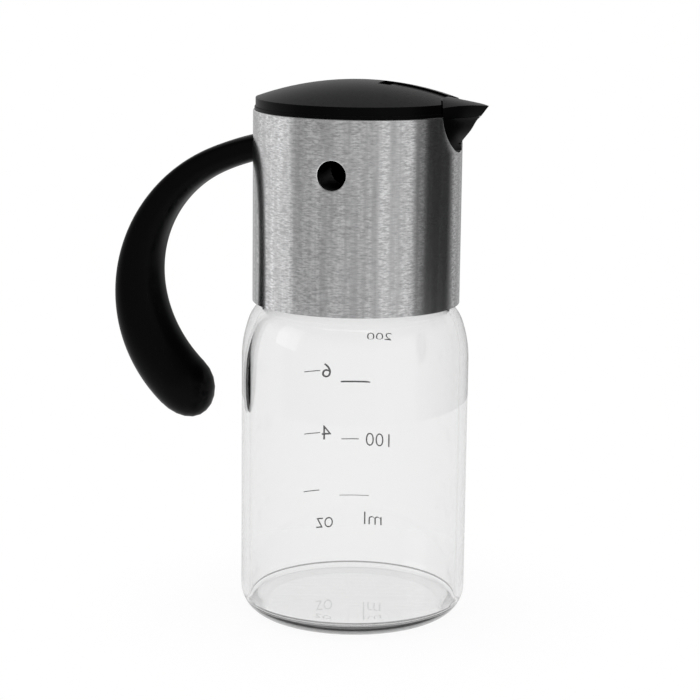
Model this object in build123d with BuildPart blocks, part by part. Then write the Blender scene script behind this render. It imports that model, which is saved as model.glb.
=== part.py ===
# Oil cruet: a glass jar, a screw-on pouring head in a steel collar, and a C-shaped handle.
# Units are millimetres. The origin is the centre of the jar's underside. +Z is up,
# +X points to the spout and -X to the handle.

import os
from math import atan2, cos, degrees, pi, radians, sin, sqrt

from build123d import *

os.makedirs("parts", exist_ok=True)

# Glass jar
jar_radius = 33.0
jar_wall = 2.4
jar_floor = 4.2
heel_radius = 8.0
inner_heel_radius = 1.2
body_height = 76.0
shoulder_height = 8.0
shoulder_round = 10.4
shoulder_ease = 1.4
neck_root_round = 1.5
neck_length = 14.5
rim_round = 1.0

# Screw thread between the jar's neck and the head
thread_pitch = 4.0
jar_thread_turns = 2.0
insert_thread_turns = 1.5
thread_depth = 1.1
thread_root_width = 1.9
thread_tip_width = 0.9
thread_clearance = 0.4
thread_sink = 0.4
thread_start = 2.2

# Seal between the jar's rim and the deck of the head
seal_thickness = 1.8
seal_gap = 0.1
seal_width = 3.0

# Steel collar
collar_radius = 30.0
collar_sheet = 0.6
collar_height = 55.0
collar_drop = 1.45
collar_edge_round = 0.35
side_hole_diameter = 8.2
side_hole_drop = 15.5
notch_radius = 12.3
notch_centre_rise = 1.4

# Black mouldings inside the collar: threaded cap, liner with the spout, divider and vent tubes
fit_gap = 0.1
insert_wall = 2.0
skirt_wall = 2.4
skirt_recess = 1.0
deck_thickness = 2.5
lip_thickness = 0.9
lip_overhang = 0.4
chamber_wall = 1.4
throat_depth = 4.4
shelf_reach = 8.0
shelf_drop = 15.0
chamber_wall_gap = 0.4
port_length = 20.0
port_width = 7.0
air_hole_diameter = 3.0
air_hole_inset = 9.0
vent_tube_wall = 1.4
vent_tube_length = 13.3
spout_root = 0.8
spout_gap = 0.15
spout_wall_rise = 1.8
spout_wall_share = 0.87
spout_shares = (0.04, 0.12, 0.25, 0.45, 0.7, 1.0)
trough_drop = 0.6
spout_reach = 5.6
keel_slope = 0.717
keel_foot_reach = 0.2

# Domed cover
band_inset = 0.7
band_height = 2.5
dome_rise = 5.2
dome_wall = 1.6
spigot_wall = 1.5
spigot_depth = 3.0
slot_half_width = 5.0
slot_corner_inset = 4.2
slot_length = 18.3

# Spout flap, its pin and its counterweight
flap_gap = 0.4
flap_recess = 0.65
flap_thickness = 2.0
pin_radius = 1.0
barrel_wall = 1.3
pin_running_gap = 0.05
pin_fixed_gap = 0.02
lug_thickness = 2.0
lug_gap = 0.4
beak_inset = 0.6
beak_reach = 7.9
beak_tip_rise = 2.5
beak_crown_slope = 9.5
beak_crown_radius = 38.0
beak_hollow_depth = 1.4
beak_wall = 1.8
beak_point_wall = 5.4
arm_half_width = 3.0
arm_eye_wall = 1.2
arm_thickness = 3.6
weight_radius = 3.0
weight_half_length = 8.0
weight_drop = 10.0

# Handle
handle_centre_inset = 4.74
handle_centre_drop = 52.85
handle_arc_radius = 40.8
handle_root_angle = 94.0
handle_end_angle = 227.3
root_half_height = 3.65
grip_half_height = 8.6
root_half_width = 6.5
grip_half_width = 8.8
root_corner = 1.4
grip_corner_share = 0.96
handle_swell = 1.4
handle_end_stretch = 1.2
handle_sections = 12
handle_fit = 0.1

# Handle fixing
screw_drop = 13.2
screw_half_spacing = 4.0
screw_radius = 1.25
screw_head_radius = 2.4
screw_head_height = 1.6
screw_socket_radius = 1.3
screw_reach = 8.0
plate_thickness = 1.2
plate_half_width = 7.5
plate_half_height = 4.0
boss_depth = 3.0
boss_margin = 1.2

# How far a cut runs past the face that it opens
overrun = 1.0

# Radii and distances from the axis, worked out from the collar inwards and outwards
insert_radius = collar_radius - collar_sheet - fit_gap
chamber_radius = insert_radius - insert_wall
thread_bore = insert_radius - skirt_wall
neck_radius = thread_bore - thread_clearance - thread_depth
vent_tube_inner_end = chamber_radius - vent_tube_length
air_hole_x = air_hole_inset - (neck_radius - jar_wall)
notch_half_width = sqrt(notch_radius ** 2 - notch_centre_rise ** 2)
spout_back_x = sqrt(insert_radius ** 2 - notch_half_width ** 2) - spout_root
upper_wall_x = spout_back_x - throat_depth - chamber_wall
lower_wall_x = upper_wall_x - shelf_reach
keel_top_x = collar_radius + spout_reach
band_radius = collar_radius - band_inset
beak_tip_x = collar_radius + beak_reach
beak_half_width = notch_half_width - beak_inset
flap_half_width = slot_half_width - flap_gap
slot_flare_half_width = beak_half_width + flap_gap
barrel_radius = pin_radius + barrel_wall
slot_corner_x = band_radius - slot_corner_inset
slot_back_x = slot_corner_x - slot_length
hinge_x = slot_back_x + flap_gap + barrel_radius
handle_centre_x = handle_centre_inset - collar_radius

# The shoulder is a long arc and a short arc, then a small hollow arc into the neck
shoulder_arc = (2 * shoulder_round * shoulder_ease + shoulder_ease ** 2 + shoulder_height ** 2)
shoulder_arc = shoulder_arc / (2 * shoulder_ease)
long_centre = (jar_radius - shoulder_arc, body_height)
short_centre = (jar_radius - shoulder_round - shoulder_ease, body_height + shoulder_height)
hollow_x = neck_radius + neck_root_round
hollow_rise = sqrt((shoulder_round + neck_root_round) ** 2 - (hollow_x - short_centre[0]) ** 2)
hollow_centre = (hollow_x, short_centre[1] + hollow_rise)
long_angle = degrees(atan2(shoulder_height, short_centre[0] - long_centre[0]))
short_angle = degrees(atan2(hollow_rise, hollow_x - short_centre[0]))

# Heights, worked out from the jar upwards
neck_top = hollow_centre[1] + neck_length
deck_z = neck_top + seal_thickness + 2 * seal_gap
deck_top = deck_z + deck_thickness
collar_bottom = hollow_centre[1] - collar_drop
collar_top = collar_bottom + collar_height
side_hole_z = collar_top - side_hole_drop
notch_centre_z = collar_top + notch_centre_rise
screw_z = collar_top - screw_drop
lip_top = collar_top + lip_thickness
rim_z = lip_top + band_height
dome_radius = (band_radius ** 2 + dome_rise ** 2) / (2 * dome_rise)
dome_centre_z = rim_z + dome_rise - dome_radius
trough_top = collar_top - trough_drop
hinge_z = dome_centre_z + sqrt((dome_radius - flap_recess) ** 2 - hinge_x ** 2) - barrel_radius


def jar_half_section(inset, floor, heel):
    """Half section of the jar's outside, or of its hollow when inset is the wall."""
    heel_x = jar_radius - inset - heel
    with BuildSketch(Plane.XZ) as section:
        with BuildLine():
            Line((0, floor), (heel_x, floor))
            CenterArc((heel_x, floor + heel), heel, -90, 90)
            Line((jar_radius - inset, floor + heel), (jar_radius - inset, body_height))
            CenterArc(long_centre, shoulder_arc - inset, 0, long_angle)
            CenterArc(short_centre, shoulder_round - inset, long_angle, short_angle - long_angle)
            CenterArc(hollow_centre, neck_root_round + inset, short_angle + 180, -short_angle)
            Line((neck_radius - inset, hollow_centre[1]), (neck_radius - inset, neck_top))
            Line((neck_radius - inset, neck_top), (0, neck_top))
            Line((0, neck_top), (0, floor))
        make_face()
    return section.sketch


def thread_ridge(radius, base_z, turns, inward):
    """Helical ridge on a wall of the given radius, standing out from it or into it."""
    side = -1 if inward else 1
    root = radius - side * thread_sink
    tip = radius + side * thread_depth
    # The flanks keep their slope down into the wall
    slope = (thread_root_width - thread_tip_width) / 2 / thread_depth
    root_half = thread_root_width / 2 + slope * thread_sink
    tip_half = thread_tip_width / 2
    with BuildPart() as ridge:
        with BuildLine() as path:
            Helix(thread_pitch, thread_pitch * turns, radius, center=(0, 0, base_z))
        start = path.line @ 0
        with BuildSketch(Plane(origin=(0, 0, start.Z), x_dir=(1, 0, 0), z_dir=(0, -1, 0))):
            with BuildLine():
                Polyline(
                    (root, -root_half),
                    (tip, -tip_half),
                    (tip, tip_half),
                    (root, root_half),
                    close=True,
                )
            make_face()
        sweep(path=path.line, is_frenet=True)
    return ridge.part


def notch_width_at(height, gap):
    """Half width at a height of a circle that keeps a gap inside the collar's round notch."""
    return sqrt((notch_radius - gap) ** 2 - (notch_centre_z - height) ** 2)


def keel_x(height):
    """Distance of the spout's front edge from the axis at a height."""
    sloped = keel_top_x - (trough_top - height) * keel_slope
    return max(sloped, collar_radius + keel_foot_reach)


def spout_section(height, half_width, keel, back_x):
    """Horizontal section of the spout: a prow with straight sides."""
    corner_x = sqrt((insert_radius + spout_gap) ** 2 - half_width ** 2)
    with BuildSketch(Plane.XY.offset(height)) as section:
        with BuildLine():
            Polyline(
                (back_x, -half_width),
                (corner_x, -half_width),
                (keel, 0),
                (corner_x, half_width),
                (back_x, half_width),
                close=True,
            )
        make_face()
    return section.sketch


def spout_outside():
    """The V-shaped spout, from its foot in the notch up to its rim."""
    foot = notch_centre_z - notch_radius + spout_gap
    rise = trough_top - foot
    with BuildPart() as prow:
        for share in spout_shares:
            height = foot + rise * share
            half_width = notch_width_at(height, spout_gap)
            add(spout_section(height, half_width, keel_x(height), spout_back_x))
        loft()
    return prow.part


def spout_channel():
    """The pouring channel inside the spout, open at its top and at its back."""
    foot = notch_centre_z - notch_radius + spout_gap + spout_wall_rise
    rise = trough_top + spout_wall_rise - foot
    back_x = upper_wall_x + chamber_wall + overrun
    with BuildPart() as channel:
        for share in spout_shares:
            height = foot + rise * share
            outer_height = height - spout_wall_rise
            half_width = notch_width_at(outer_height, spout_gap) * spout_wall_share
            add(spout_section(height, half_width, keel_x(outer_height), back_x))
        loft()
    return channel.part


jar_thread = thread_ridge(neck_radius, hollow_centre[1] + thread_start, jar_thread_turns, False)
insert_thread_z = hollow_centre[1] + thread_start + thread_pitch / 2
insert_thread = thread_ridge(thread_bore, insert_thread_z, insert_thread_turns, True)
spout_prow = spout_outside()
spout_cut = spout_channel()

# Glass jar
with BuildPart() as glass_jar:
    revolve(jar_half_section(0, 0, heel_radius), axis=Axis.Z)
    revolve(jar_half_section(jar_wall, jar_floor, inner_heel_radius), axis=Axis.Z, mode=Mode.SUBTRACT)
    rim_edges = glass_jar.edges().group_by(Axis.Z)[-1]
    fillet(rim_edges, rim_round)
    add(jar_thread)
glass_jar.part.label = "glass_jar"
export_step(glass_jar.part, "parts/glass_jar.step")

# Seal ring, lying on the jar's rim
with BuildPart() as seal_ring:
    with BuildSketch(Plane.XY.offset(neck_top + seal_gap)):
        Circle(thread_bore - thread_clearance)
        Circle(thread_bore - thread_clearance - seal_width, mode=Mode.SUBTRACT)
    extrude(amount=seal_thickness)
seal_ring.part.label = "seal_ring"
export_step(seal_ring.part, "parts/seal_ring.step")

# Steel collar, with a round notch for the spout, two side holes and two screw holes
with BuildPart() as collar_sleeve:
    with BuildSketch(Plane.XY.offset(collar_bottom)):
        Circle(collar_radius)
        Circle(collar_radius - collar_sheet, mode=Mode.SUBTRACT)
    extrude(amount=collar_height)
    outer_foot = collar_sleeve.edges().group_by(Axis.Z)[0].sort_by(SortBy.LENGTH)[-1]
    fillet(outer_foot, collar_edge_round)
    with BuildSketch(Plane.YZ):
        with Locations((0, notch_centre_z)):
            Circle(notch_radius)
    extrude(amount=collar_radius + overrun, mode=Mode.SUBTRACT)
    with BuildSketch(Plane.XZ):
        with Locations((0, side_hole_z)):
            Circle(side_hole_diameter / 2)
    extrude(amount=collar_radius + overrun, both=True, mode=Mode.SUBTRACT)
    with BuildSketch(Plane.YZ):
        with Locations((-screw_half_spacing, screw_z), (screw_half_spacing, screw_z)):
            Circle(screw_radius + fit_gap)
    extrude(amount=-collar_radius - overrun, mode=Mode.SUBTRACT)
collar_sleeve.part.label = "collar_sleeve"
export_step(collar_sleeve.part, "parts/collar_sleeve.step")

# Threaded cap: a skirt that screws on the jar's neck, under a deck with a port and an air hole
port_x = lower_wall_x + chamber_wall + port_width / 2 + fit_gap
cap_bottom = collar_bottom + skirt_recess
with BuildPart() as thread_cap:
    with BuildSketch(Plane.XY.offset(cap_bottom)):
        Circle(insert_radius)
    extrude(amount=deck_top - cap_bottom)
    with BuildSketch(Plane.XY.offset(cap_bottom)):
        Circle(thread_bore)
    extrude(amount=deck_z - cap_bottom, mode=Mode.SUBTRACT)
    add(insert_thread)
    with BuildSketch(Plane.XY.offset(deck_z)):
        with Locations((port_x, 0)):
            SlotOverall(port_length, port_width, rotation=90)
        with Locations((air_hole_x, 0)):
            Circle(air_hole_diameter / 2)
    extrude(amount=deck_thickness, mode=Mode.SUBTRACT)
thread_cap.part.label = "thread_cap"
export_step(thread_cap.part, "parts/thread_cap.step")

# Liner that stands on the deck, with the lip, the spout and a boss for the handle's screws
boss_face_x = boss_depth - chamber_radius
boss_half_height = plate_half_height + boss_margin
vent_tube_radius = side_hole_diameter / 2 + fit_gap + vent_tube_wall
with BuildPart() as pour_insert:
    with BuildSketch(Plane.XY.offset(deck_top)):
        Circle(insert_radius)
    extrude(amount=collar_top - deck_top)
    with BuildSketch(Plane.XY.offset(collar_top)):
        Circle(collar_radius - lip_overhang)
    extrude(amount=lip_thickness)
    with BuildSketch(Plane.XY.offset(deck_top)):
        Circle(chamber_radius)
    extrude(amount=lip_top - deck_top, mode=Mode.SUBTRACT)
    with BuildSketch(Plane.XY.offset(screw_z - boss_half_height)):
        Circle(chamber_radius + fit_gap)
        with Locations((boss_face_x - boss_depth, 0)):
            Rectangle(2 * boss_depth, 2 * (plate_half_width + boss_margin), mode=Mode.INTERSECT)
    extrude(amount=2 * boss_half_height)
    add(spout_prow)
    add(spout_cut, mode=Mode.SUBTRACT)
    # The front of the lip is open for the flap's beak
    with BuildSketch(Plane.XY.offset(trough_top)):
        with Locations((collar_radius, 0)):
            Rectangle(2 * (collar_radius - slot_corner_x), 2 * slot_flare_half_width)
    extrude(amount=lip_top - trough_top + overrun, mode=Mode.SUBTRACT)
    # Seats for the vent tubes
    with BuildSketch(Plane.XZ):
        with Locations((0, side_hole_z)):
            Circle(vent_tube_radius + fit_gap)
    extrude(amount=collar_radius, both=True, mode=Mode.SUBTRACT)
    with BuildSketch(Plane.YZ):
        with Locations((-screw_half_spacing, screw_z), (screw_half_spacing, screw_z)):
            Circle(screw_radius + fit_gap)
    extrude(amount=-collar_radius, mode=Mode.SUBTRACT)
pour_insert.part.label = "pour_insert"
export_step(pour_insert.part, "parts/pour_insert.step")

# Stepped wall between the pouring chamber in front and the dry space behind
shelf_z = collar_top - shelf_drop
wall_top = lip_top - spigot_depth - chamber_wall_gap
with BuildPart() as divider_wall:
    for wall_x, wall_depth, foot, top in (
            (lower_wall_x, chamber_wall, deck_top, shelf_z),
            (lower_wall_x, upper_wall_x + chamber_wall - lower_wall_x, shelf_z - chamber_wall, shelf_z),
            (upper_wall_x, chamber_wall, shelf_z - chamber_wall, wall_top)):
        with BuildSketch(Plane.XY.offset(foot)):
            Circle(chamber_radius - fit_gap)
            with Locations((wall_x + wall_depth / 2, 0)):
                Rectangle(wall_depth, 2 * collar_radius, mode=Mode.INTERSECT)
        extrude(amount=top - foot)
divider_wall.part.label = "divider_wall"
export_step(divider_wall.part, "parts/divider_wall.step")

# Vent tubes, from behind the collar's side holes into the dry space
with BuildPart() as vent_tubes:
    for side in (-1, 1):
        start_y = side * vent_tube_inner_end
        with BuildSketch(Plane(origin=(0, start_y, side_hole_z), z_dir=(0, side, 0))):
            Circle(vent_tube_radius)
            Circle(vent_tube_radius - vent_tube_wall, mode=Mode.SUBTRACT)
        extrude(amount=insert_radius - vent_tube_inner_end)
    with BuildSketch(Plane.XY.offset(side_hole_z - vent_tube_radius)):
        Circle(insert_radius)
    extrude(amount=2 * vent_tube_radius, mode=Mode.INTERSECT)
vent_tubes.part.label = "vent_tubes"
export_step(vent_tubes.part, "parts/vent_tubes.step")

# Domed cover with its slot, a spigot that fits in the insert, and two pin lugs
inner_dome = dome_radius - dome_wall
spigot_radius = chamber_radius - fit_gap
spigot_inner = spigot_radius - spigot_wall
inner_rim_z = dome_centre_z + sqrt(inner_dome ** 2 - spigot_inner ** 2)
outer_angle = degrees(atan2(rim_z - dome_centre_z, band_radius))
inner_angle = degrees(atan2(inner_rim_z - dome_centre_z, spigot_inner))
lug_start = slot_half_width + lug_gap
lug_end = lug_start + lug_thickness
lug_rise = barrel_radius - flap_recess
flare_start_x = sqrt(band_radius ** 2 - slot_flare_half_width ** 2)
with BuildPart() as dome_cover:
    with BuildSketch(Plane.XZ):
        with BuildLine():
            CenterArc((0, dome_centre_z), dome_radius, outer_angle, 90 - outer_angle)
            Line((0, dome_centre_z + dome_radius), (0, dome_centre_z + inner_dome))
            CenterArc((0, dome_centre_z), inner_dome, inner_angle, 90 - inner_angle)
            Polyline(
                (spigot_inner, inner_rim_z),
                (spigot_inner, lip_top - spigot_depth),
                (spigot_radius, lip_top - spigot_depth),
                (spigot_radius, lip_top),
                (band_radius, lip_top),
                (band_radius, rim_z),
            )
        make_face()
    revolve(axis=Axis.Z)
    for side in (-1, 1):
        with BuildSketch(Plane(origin=(0, side * lug_start, 0), x_dir=(1, 0, 0), z_dir=(0, side, 0))):
            # Seen from either side the local height axis points up or down with the plane
            with Locations((hinge_x, -side * hinge_z)):
                Circle(barrel_radius)
            with Locations((hinge_x, -side * (hinge_z + lug_rise / 2))):
                Rectangle(2 * barrel_radius, lug_rise)
        extrude(amount=lug_thickness)
    with BuildSketch(Plane.XY.offset(lip_top - spigot_depth)):
        with BuildLine():
            Polyline(
                (slot_back_x, -slot_half_width),
                (slot_corner_x, -slot_half_width),
                (flare_start_x, -slot_flare_half_width),
                (collar_radius + overrun, -slot_flare_half_width),
                (collar_radius + overrun, slot_flare_half_width),
                (flare_start_x, slot_flare_half_width),
                (slot_corner_x, slot_half_width),
                (slot_back_x, slot_half_width),
                close=True,
            )
        make_face()
    extrude(amount=spigot_depth + band_height + dome_rise + overrun, mode=Mode.SUBTRACT)
    # The spigot leaves the front open for the spout
    with BuildSketch(Plane.XY.offset(lip_top - spigot_depth)):
        with Locations((collar_radius, 0)):
            Rectangle(2 * (collar_radius - upper_wall_x), 2 * slot_flare_half_width)
    extrude(amount=spigot_depth, mode=Mode.SUBTRACT)
    with BuildSketch(Plane.XZ):
        with Locations((hinge_x, hinge_z)):
            Circle(pin_radius + pin_fixed_gap)
    extrude(amount=lug_end, both=True, mode=Mode.SUBTRACT)
dome_cover.part.label = "dome_cover"
export_step(dome_cover.part, "parts/dome_cover.step")

# Steel pin through the lugs and the flap's barrel
with BuildPart() as flap_pin:
    with BuildSketch(Plane.XZ):
        with Locations((hinge_x, hinge_z)):
            Circle(pin_radius)
    extrude(amount=lug_end, both=True)
flap_pin.part.label = "flap_pin"
export_step(flap_pin.part, "parts/flap_pin.step")

# Spout flap: a beak over the spout, a recessed tongue in the slot, a barrel and an arm
beak_back_x = slot_corner_x + flap_gap
beak_flare_x = flare_start_x + flap_gap
beak_bottom = trough_top + spout_gap
beak_edge_z = collar_top + beak_tip_rise
weight_z = hinge_z - weight_drop


def beak_plan(height, tip):
    """Horizontal outline of the beak at a height, with its tip at a distance from the axis."""
    with BuildSketch(Plane.XY.offset(height)) as plan:
        with BuildLine():
            Polyline(
                (beak_back_x, -flap_half_width),
                (beak_flare_x, -beak_half_width),
                (tip, 0),
                (beak_flare_x, beak_half_width),
                (beak_back_x, flap_half_width),
                close=True,
            )
        make_face()
    return plan.sketch


def flap_beak():
    """Arrowhead that leans out with the spout's front edge, under a crown that falls to its tip."""
    slope = radians(beak_crown_slope)
    crown_x = beak_tip_x - beak_crown_radius * sin(slope)
    crown_z = beak_edge_z - beak_crown_radius * cos(slope)
    lean = (beak_tip_x - keel_top_x) / (beak_edge_z - trough_top)
    with BuildPart() as beak:
        add(beak_plan(beak_bottom, keel_top_x + spout_gap * lean))
        add(beak_plan(rim_z + dome_rise, keel_top_x + (rim_z + dome_rise - trough_top) * lean))
        loft(ruled=True)
        with BuildSketch(Plane(origin=(crown_x, 0, crown_z), z_dir=(cos(slope), 0, -sin(slope)))):
            Circle(beak_crown_radius)
        extrude(amount=beak_tip_x, both=True, mode=Mode.INTERSECT)
        with BuildSketch(Plane.XY.offset(beak_bottom)):
            with BuildLine():
                Polyline(
                    (beak_flare_x + beak_wall, -beak_half_width + 2 * beak_wall),
                    (beak_tip_x - beak_point_wall, 0),
                    (beak_flare_x + beak_wall, beak_half_width - 2 * beak_wall),
                    close=True,
                )
            make_face()
        extrude(amount=beak_hollow_depth, mode=Mode.SUBTRACT)
    return beak.part


def flap_tongue():
    """Strip that follows the dome a little below its surface, from the barrel to the beak."""
    length = beak_back_x + beak_wall - hinge_x
    with BuildPart() as tongue:
        with BuildSketch(Plane.XY.offset(trough_top)):
            with Locations((hinge_x + length / 2, 0)):
                Rectangle(length, 2 * flap_half_width)
        extrude(amount=beak_tip_x)
        with Locations((0, 0, dome_centre_z)):
            Sphere(dome_radius - flap_recess, mode=Mode.INTERSECT)
            Sphere(dome_radius - flap_recess - flap_thickness, mode=Mode.SUBTRACT)
    return tongue.part


beak_body = flap_beak()
tongue_body = flap_tongue()
with BuildPart() as spout_flap:
    add(beak_body)
    add(tongue_body)
    with BuildSketch(Plane.XZ):
        with Locations((hinge_x, hinge_z)):
            Circle(barrel_radius)
    extrude(amount=flap_half_width, both=True)
    with BuildSketch(Plane.XZ):
        with Locations((hinge_x, hinge_z - weight_drop / 2)):
            Rectangle(arm_thickness, weight_drop)
        with Locations((hinge_x, weight_z)):
            Circle(weight_radius + arm_eye_wall)
    extrude(amount=arm_half_width, both=True)
    with BuildSketch(Plane.XZ):
        with Locations((hinge_x, hinge_z)):
            Circle(pin_radius + pin_running_gap)
        with Locations((hinge_x, weight_z)):
            Circle(weight_radius + pin_fixed_gap)
    extrude(amount=flap_half_width, both=True, mode=Mode.SUBTRACT)
spout_flap.part.label = "spout_flap"
export_step(spout_flap.part, "parts/spout_flap.step")

# Steel slug held in the arm's eye, which swings the flap open as the cruet tilts
with BuildPart() as flap_weight:
    with BuildSketch(Plane.XZ):
        with Locations((hinge_x, weight_z)):
            Circle(weight_radius)
    extrude(amount=weight_half_length, both=True)
flap_weight.part.label = "flap_weight"
export_step(flap_weight.part, "parts/flap_weight.step")

# Steel backing plate and two screws that hold the handle from inside the head
with BuildPart() as handle_plate:
    with BuildSketch(Plane.YZ.offset(boss_face_x + fit_gap / 2)):
        with Locations((0, screw_z)):
            RectangleRounded(2 * plate_half_width, 2 * plate_half_height, plate_half_height / 2)
        with Locations((-screw_half_spacing, screw_z), (screw_half_spacing, screw_z)):
            Circle(screw_radius + fit_gap, mode=Mode.SUBTRACT)
    extrude(amount=plate_thickness)
handle_plate.part.label = "handle_plate"
export_step(handle_plate.part, "parts/handle_plate.step")

screw_head_x = boss_face_x + plate_thickness + fit_gap
screw_tip_x = -collar_radius - screw_reach
with BuildPart() as handle_screws:
    for side in (-1, 1):
        with BuildSketch(Plane.YZ.offset(screw_tip_x)):
            with Locations((side * screw_half_spacing, screw_z)):
                Circle(screw_radius)
        extrude(amount=screw_head_x - screw_tip_x)
        with BuildSketch(Plane.YZ.offset(screw_head_x)):
            with Locations((side * screw_half_spacing, screw_z)):
                Circle(screw_head_radius)
        extrude(amount=screw_head_height)
        with BuildSketch(Plane.YZ.offset(screw_head_x + screw_head_height / 2)):
            with Locations((side * screw_half_spacing, screw_z)):
                RegularPolygon(screw_socket_radius, 6)
        extrude(amount=screw_head_height, mode=Mode.SUBTRACT)
handle_screws.part.label = "handle_screws"
export_step(handle_screws.part, "parts/handle_screws.step")

# Handle: an open C that swells from a flat bar at the collar to a round free end
handle_centre_z = collar_top - handle_centre_drop


def handle_share(angle):
    """How far the section has swollen at an angle round the handle's arc, from 0 to 1."""
    turned = (angle - handle_root_angle) / (handle_end_angle - handle_root_angle)
    return (1 - cos(pi * turned ** handle_swell)) / 2


def handle_plane(angle):
    """Plane square to the handle's arc, with the object's +Y as its own X."""
    bearing = radians(angle)
    origin = (
        handle_centre_x + handle_arc_radius * cos(bearing),
        0,
        handle_centre_z + handle_arc_radius * sin(bearing),
    )
    return Plane(origin=origin, x_dir=(0, 1, 0), z_dir=(-sin(bearing), 0, cos(bearing)))


def handle_section(angle):
    """Rounded rectangle that turns from a flat bar into nearly an ellipse."""
    share = handle_share(angle)
    half_height = root_half_height + (grip_half_height - root_half_height) * share
    half_width = root_half_width + (grip_half_width - root_half_width) * share
    corner = root_corner + (grip_corner_share * grip_half_height - root_corner) * share
    with BuildSketch(handle_plane(angle)) as section:
        RectangleRounded(2 * half_width, 2 * half_height, corner)
    return section.sketch


# Rounded free end: half of the last section turned about its own width, then drawn out
with BuildPart() as handle_end:
    with BuildSketch():
        RectangleRounded(2 * grip_half_width, 2 * grip_half_height, grip_corner_share * grip_half_height)
        with Locations((0, -grip_half_height)):
            Rectangle(2 * grip_half_width, 2 * grip_half_height, mode=Mode.SUBTRACT)
    revolve(axis=Axis.X, revolution_arc=180)
    scale(by=(1, 1, handle_end_stretch))

with BuildPart() as handle:
    step = (handle_end_angle - handle_root_angle) / handle_sections
    for index in range(handle_sections + 1):
        add(handle_section(handle_root_angle + step * index))
    loft()
    add(handle_plane(handle_end_angle).location * handle_end.part)
    # The root is hollowed to sit on the collar and drilled for the screws
    with BuildSketch(Plane.XY.offset(collar_bottom)):
        Circle(collar_radius + handle_fit)
    extrude(amount=collar_height, mode=Mode.SUBTRACT)
    with BuildSketch(Plane.YZ.offset(screw_tip_x - overrun)):
        with Locations((-screw_half_spacing, screw_z), (screw_half_spacing, screw_z)):
            Circle(screw_radius + pin_fixed_gap)
    extrude(amount=screw_reach + overrun + collar_radius, mode=Mode.SUBTRACT)
handle.part.label = "handle"
export_step(handle.part, "parts/handle.step")
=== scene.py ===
# %% [markdown]
# # An oil cruet: clear glass jar, brushed steel collar, black lid, spout and handle
#
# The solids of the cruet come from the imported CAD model, which is loaded as a fixed frame.
# This lesson gives each of them a finish, and models again, by hand, the pieces whose
# surfaces the eye reads most closely: the glass jar, the steel collar and the handle. It adds
# the printed scale. Everything is in metres, with +Z up, the spout towards +X and the handle
# towards -X.

# %% Load the frame and keep its box
import math

import bpy
from mathutils import Matrix, Vector


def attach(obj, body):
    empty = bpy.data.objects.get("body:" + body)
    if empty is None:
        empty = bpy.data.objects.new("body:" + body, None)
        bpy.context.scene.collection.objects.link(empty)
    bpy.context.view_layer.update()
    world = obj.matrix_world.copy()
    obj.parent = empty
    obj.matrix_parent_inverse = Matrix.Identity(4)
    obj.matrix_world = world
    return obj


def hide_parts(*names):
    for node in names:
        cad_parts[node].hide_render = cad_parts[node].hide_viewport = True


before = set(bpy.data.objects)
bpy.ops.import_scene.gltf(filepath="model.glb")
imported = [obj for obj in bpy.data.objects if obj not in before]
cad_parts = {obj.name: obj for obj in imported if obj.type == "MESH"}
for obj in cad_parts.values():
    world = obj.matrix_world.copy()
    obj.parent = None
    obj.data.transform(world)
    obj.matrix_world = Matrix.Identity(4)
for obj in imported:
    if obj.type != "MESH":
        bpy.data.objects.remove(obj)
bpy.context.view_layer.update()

# %% [markdown]
# ## The camera
#
# The photograph was taken with a long lens from a little above the lid. The place, the aim
# and the slight roll were fitted to the collar's edges and the glass outline. The subject
# stands left of the lens axis, so a small sideways shift frames it as the photograph does.

# %% Camera
mm = 0.001
camera_place = Vector((0.15725, -0.63069, 0.20841))
camera_turn, camera_yaw = math.radians(14.0), math.radians(0.915)
camera_pitch, camera_roll = math.radians(11.324), math.radians(0.885)
camera_lens = 116.93
camera_sensor = 36.0
camera_shift = -0.0585
nearest_seen, farthest_seen = 0.05, 20.0

ahead = Vector(
    (
        math.sin(camera_yaw) * math.cos(camera_pitch),
        math.cos(camera_yaw) * math.cos(camera_pitch),
        -math.sin(camera_pitch),
    )
)
level_right = Vector((math.cos(camera_yaw), -math.sin(camera_yaw), 0))
level_up = level_right.cross(ahead)
right = math.cos(camera_roll) * level_right + math.sin(camera_roll) * level_up
up = math.cos(camera_roll) * level_up - math.sin(camera_roll) * level_right
aim = Matrix((right, up, -ahead)).transposed()

bpy.ops.object.camera_add(location=camera_place)
camera = bpy.context.object
camera.name = "camera"
camera.rotation_mode = "QUATERNION"
camera.rotation_quaternion = (Matrix.Rotation(camera_turn, 3, "Z") @ aim).to_quaternion()
camera.data.lens = camera_lens
camera.data.sensor_width = camera_sensor
camera.data.shift_x = camera_shift
camera.data.clip_start, camera.data.clip_end = nearest_seen, farthest_seen
bpy.context.scene.camera = camera
bpy.context.scene.view_settings.view_transform = "Standard"
print("camera at", [round(v, 4) for v in camera.location])

# %% [markdown]
# ## Nodes, written short
#
# A material is a small graph of nodes. These helpers add a node with its settings, and feed
# an input from an output or a plain value, so that each material below reads as a list of
# what it is made of.


# %% Node helpers
def feed(tree, value, socket):
    """Gives an input its value: the output of another node, or a plain number or colour."""
    if isinstance(value, bpy.types.NodeSocket):
        tree.links.new(value, socket)
    else:
        socket.default_value = value


def add_node(tree, kind, **inputs):
    """Adds a node; a name that the node has as a property is set there, any other is an input."""
    node = tree.nodes.new(kind)
    for name, value in inputs.items():
        if hasattr(node, name):
            setattr(node, name, value)
        else:
            feed(tree, value, node.inputs[name.replace("_", " ")])
    return node


def calculate(tree, operation, *values, clamp=False):
    """A Math node; its values are outputs of other nodes or plain numbers."""
    node = add_node(tree, "ShaderNodeMath", operation=operation, use_clamp=clamp)
    for place, value in enumerate(values):
        feed(tree, value, node.inputs[place])
    return node.outputs[0]


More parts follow.
